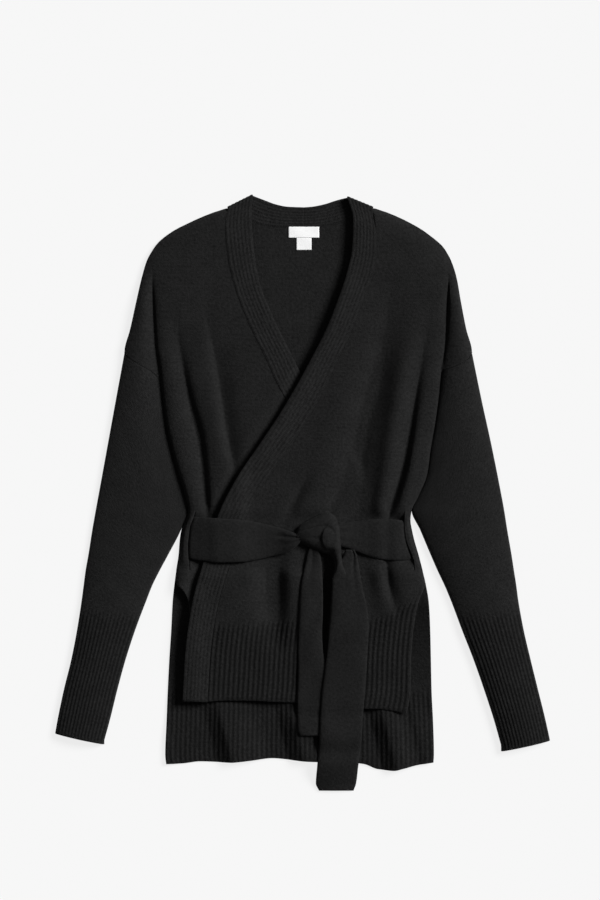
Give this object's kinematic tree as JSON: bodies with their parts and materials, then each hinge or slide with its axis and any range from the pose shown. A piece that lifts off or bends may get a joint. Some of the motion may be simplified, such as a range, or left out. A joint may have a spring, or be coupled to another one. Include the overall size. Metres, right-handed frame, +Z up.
{
  "type": "wrap cardigan",
  "caption": "Fine-knit wrap cardigan laid flat, with drop shoulders, ribbed neck bands, cuffs and hems, side vents and a tied belt with hanging ends.",
  "frame": {"origin": "on the floor under the middle of the outline", "axes": "+Z up from the floor through the front, +Y from hem to neck, +X to the garment's own left"},
  "size_m": [0.633, 0.7614, 0.023],
  "materials": {
    "body_knit": "fine jersey knit, soft and matt",
    "sleeve_knit": "fine jersey knit, soft and matt",
    "rib_trim": "ribbed knit, matt",
    "belt_knit": "double jersey knit, matt",
    "woven_label": "woven tape, slightly lustrous"
  },
  "bodies": {
    "root": {"back": "body_knit", "front_right": "body_knit", "front_left": "body_knit", "sleeve_right": "sleeve_knit", "sleeve_left": "sleeve_knit", "neckband_right": "rib_trim", "neckband_left": "rib_trim", "belt_run_right": "belt_knit", "belt_run_left": "belt_knit", "belt_knot": "belt_knit", "belt_tail_short": "belt_knit", "belt_tail_long": "belt_knit", "neck_label": "woven_label", "size_tab": "woven_label"}
  },
  "joints": []
}
